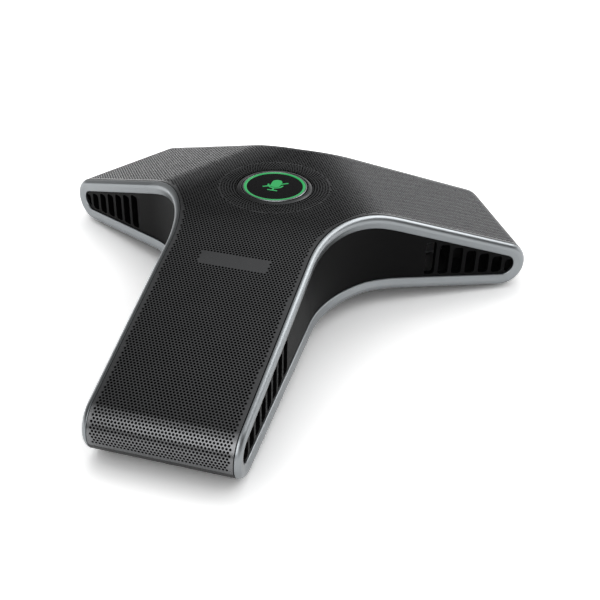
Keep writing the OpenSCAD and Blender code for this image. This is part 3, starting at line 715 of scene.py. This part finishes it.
# Camera: the photograph's own place, turn and lens
TURN, RISE, ROLL = math.radians(14.386), math.radians(33.481), math.radians(1.673)
AIM = np.array([23.24, -33.95 + HUB_Y, 12.36])
FAR_OFF, LENS_PX, FRAME_PX = 466.7, 965.0, 600
back = np.array([math.sin(TURN) * math.cos(RISE), -math.cos(TURN) * math.cos(RISE), math.sin(RISE)])
right = np.array([math.cos(TURN), math.sin(TURN), 0])
up = np.cross(back, right)
right, up = (right * math.cos(ROLL) + up * math.sin(ROLL), up * math.cos(ROLL) - right * math.sin(ROLL))
lens = bpy.data.cameras.new("camera")
lens.sensor_width = 36.0
lens.lens = LENS_PX / FRAME_PX * lens.sensor_width
lens.clip_start, lens.clip_end = 0.01, 20
camera = bpy.data.objects.new("camera", lens)
spot = (AIM + FAR_OFF * back) * MM
camera.matrix_world = Matrix([[right[i], up[i], back[i], spot[i]] for i in range(3)] + [[0, 0, 0, 1]])
bpy.context.scene.collection.objects.link(camera)
bpy.context.scene.camera = camera

# Floor, sky and lamps

# Floor: its width, and the distances from its middle between which its seen shade changes, in metres; it is
# seen darker near the middle, a painted shade round the part
FLOOR_W, FLOOR_NEAR, FLOOR_FAR = 6.0, 0.1, 0.3
# Sky in gloss: sine of the height above the horizon, with the brightness there
SKY_STOPS = [(0.0, 1.35), (0.12, 1.35), (0.2, 2.2), (0.3, 1.5), (0.37, 0.4), (0.46, 0.22), (0.8, 0.8)]
# It dims between these parts of its direction: along Y towards the front, and along X towards the left
FRONT_DIM, LEFT_DIM = (-0.1, 0.4), (-0.4, 0.1)
# Height that the lamps are aimed at, in metres
LAMP_AIM = 0.03


def any_ray(tree, *kinds):
    """Socket that is 1 for rays of any of the named kinds, and 0 for other light."""
    ray = tree.nodes.new("ShaderNodeLightPath")
    found = ray.outputs[kinds[0]]
    for kind in kinds[1:]:
        either = tree.nodes.new("ShaderNodeMath")
        either.operation = "MAXIMUM"
        tree.links.new(found, either.inputs[0])
        tree.links.new(ray.outputs[kind], either.inputs[1])
        found = either.outputs["Value"]
    return found


def mixed(tree, share, first, second):
    """Shader socket that is the first shader where the share is 0, and the second where it is 1."""
    mix = tree.nodes.new("ShaderNodeMixShader")
    for socket, value in zip(mix.inputs, (share, first, second)):
        tree.links.new(value, socket)
    return mix.outputs["Shader"]


def pale_floor(shade, near, far):
    """Wide floor under the feet, which keeps the part's shadow.

    To other light it has one plain shade. To the camera and to polished metal it is lifted to white, by a
    shade that runs from near the part to far from it, which paints shade on the floor round the part.
    """
    bpy.ops.mesh.primitive_grid_add(x_subdivisions=2, y_subdivisions=2, size=FLOOR_W)
    obj = bpy.context.object
    obj.name = "floor"
    mat = bpy.data.materials.new("floor_pale")
    mat.use_nodes = True
    tree = mat.node_tree
    new, link = partial(add_node, tree), tree.links.new
    tree.nodes.remove(tree.nodes["Principled BSDF"])
    place, reach = new("ShaderNodeTexCoord"), new("ShaderNodeVectorMath")
    reach.operation = "LENGTH"
    link(place.outputs["Object"], reach.inputs[0])
    plain, seen = new("ShaderNodeBsdfDiffuse", Color=(shade, shade, shade, 1)), new("ShaderNodeBsdfDiffuse")
    # Less lift near the part than far from it: painted shade on the floor round the part
    lifted = scaled(tree, reach.outputs["Value"], FLOOR_NEAR, FLOOR_FAR, near, far, "SMOOTHSTEP")
    link(lifted, seen.inputs["Color"])
    background = any_ray(tree, "Is Camera Ray", "Is Glossy Ray", "Is Transmission Ray")
    surface = mixed(tree, background, plain.outputs["BSDF"], seen.outputs["BSDF"])
    link(surface, tree.nodes["Material Output"].inputs["Surface"])
    obj.data.materials.append(mat)


def studio_sky(fill, stops, front, left):
    """Sky that is white to the camera, an even fill to matt surfaces, and shaped by its stops to gloss.

    The front and the left are the shares of its brightness in gloss that are kept on those sides.
    """
    world = bpy.data.worlds.new("studio")
    bpy.context.scene.world = world
    world.use_nodes = True
    tree = world.node_tree
    new, link = partial(add_node, tree), tree.links.new
    shaped = tree.nodes["Background"]
    place, parts, ramp = new("ShaderNodeTexCoord"), new("ShaderNodeSeparateXYZ"), new("ShaderNodeValToRGB")
    link(place.outputs["Generated"], parts.inputs["Vector"])
    link(parts.outputs["Z"], ramp.inputs["Fac"])
    marks = ramp.color_ramp.elements
    for k, (height, level) in enumerate(stops):
        mark = marks[k] if k < 2 else marks.new(height)
        mark.position, mark.color = height, (level, level, level, 1)
    link(ramp.outputs["Color"], shaped.inputs["Color"])
    kept = new("ShaderNodeMath")
    kept.operation = "MULTIPLY"
    for socket, axis, (start, end), share in zip(kept.inputs, "YX", (FRONT_DIM, LEFT_DIM), (front, left)):
        link(scaled(tree, parts.outputs[axis], start, end, share, 1.0), socket)
    link(kept.outputs["Value"], shaped.inputs["Strength"])
    even = new("ShaderNodeBackground", Color=(1, 1, 1, 1), Strength=fill)
    white = new("ShaderNodeBackground", Color=(1, 1, 1, 1), Strength=1.0)
    in_gloss = any_ray(tree, "Is Glossy Ray")
    light = mixed(tree, in_gloss, even.outputs["Background"], shaped.outputs["Background"])
    seen = any_ray(tree, "Is Camera Ray", "Is Transmission Ray")
    sky = mixed(tree, seen, light, white.outputs["Background"])
    link(sky, tree.nodes["World Output"].inputs["Surface"])


def lamp(name, turn, rise, distance, size, brightness):
    """Soft lamp (width, height) at an angle round the part and above the floor, aimed at its middle."""
    light = bpy.data.lights.new(name, "AREA")
    light.shape, light.size, light.size_y = "RECTANGLE", size[0], size[1]
    light.energy = brightness * math.pi * size[0] * size[1]
    obj = bpy.data.objects.new(name, light)
    a, e = math.radians(turn), math.radians(rise)
    z = np.array([math.sin(a) * math.cos(e), -math.cos(a) * math.cos(e), math.sin(e)])
    x = np.cross([0, 0, 1], z)
    x /= np.linalg.norm(x)
    y = np.cross(z, x)
    spot = z * distance + [0, 0, LAMP_AIM]
    obj.matrix_world = Matrix([[x[i], y[i], z[i], spot[i]] for i in range(3)] + [[0, 0, 0, 1]])
    bpy.context.scene.collection.objects.link(obj)
    return obj


# The near shade is lower than the far one: painted shade round the part
pale_floor(shade=0.8, near=1.6, far=1.9)
studio_sky(0.62, SKY_STOPS, front=0.4, left=0.3)
# Cards show only in gloss, and boxes light only matt surfaces
lamp("front_card", 8, 36, 1.2, (1.3, 0.95), 2.9).visible_diffuse = False
lamp("upper_card", 8, 72, 1.2, (1.3, 0.7), 1.0).visible_diffuse = False
lamp("rim_card", 138, 38, 1.2, (0.7, 0.5), 4.0).visible_diffuse = False
lamp("back_box", 200, 60, 1.3, (0.9, 0.9), 1.3).visible_glossy = False
lamp("right_box", 98, 55, 1.2, (0.8, 0.6), 0.8).visible_glossy = False
lamp("left_box", 262, 55, 1.2, (0.8, 0.6), 0.6).visible_glossy = False

bpy.context.scene.view_settings.view_transform = "Standard"
